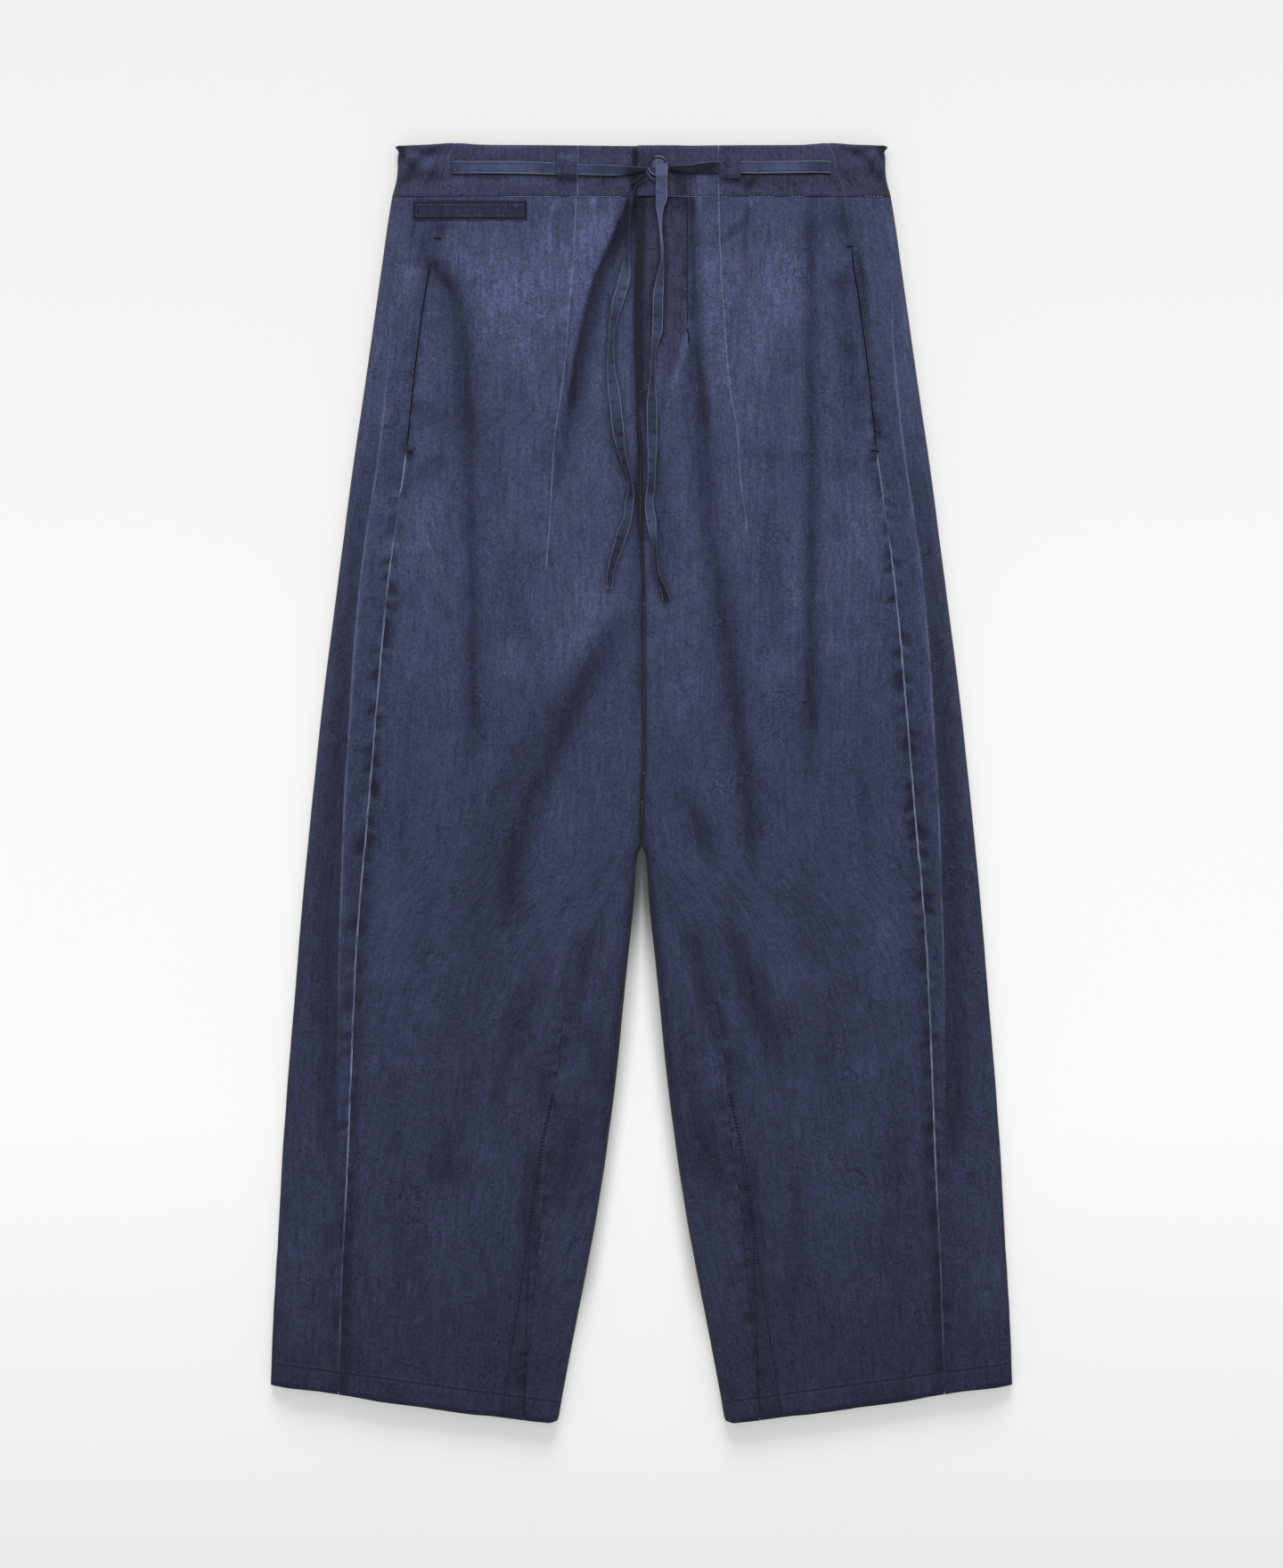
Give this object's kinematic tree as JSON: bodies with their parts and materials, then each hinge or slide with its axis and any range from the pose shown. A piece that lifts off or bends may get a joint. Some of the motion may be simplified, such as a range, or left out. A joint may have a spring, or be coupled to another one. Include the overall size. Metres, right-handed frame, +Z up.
{
  "type": "barrel-leg joggers laid flat",
  "caption": "Wide barrel-leg cotton twill joggers laid flat front up, with a tape drawstring at the buttoned waist and open legs.",
  "frame": {"origin": "middle of the underside's bounding box, on the surface that the joggers lie on", "axes": "+Y towards the waist, +Z up out of the front, +X towards the wearer's left"},
  "size_m": [0.6006, 1.0339, 0.0237],
  "materials": {
    "twill": "washed indigo cotton twill",
    "dark_twill": "unfaded indigo cotton twill",
    "tape": "washed woven cotton tape",
    "button": "overdyed pressed metal"
  },
  "bodies": {
    "root": {"right_front": "twill", "left_front": "twill", "right_back": "twill", "left_back": "twill", "waistband_right_front": "twill", "waistband_left_front": "twill", "waistband_back": "twill", "coin_pocket_welt": "dark_twill", "belt_loop_right": "twill", "belt_loop_left": "twill", "waist_tape_right": "tape", "waist_tape_left": "tape", "drawstring_knot": "tape", "drawstring_front_end": "tape", "drawstring_back_end": "tape", "button": "button"}
  },
  "joints": []
}
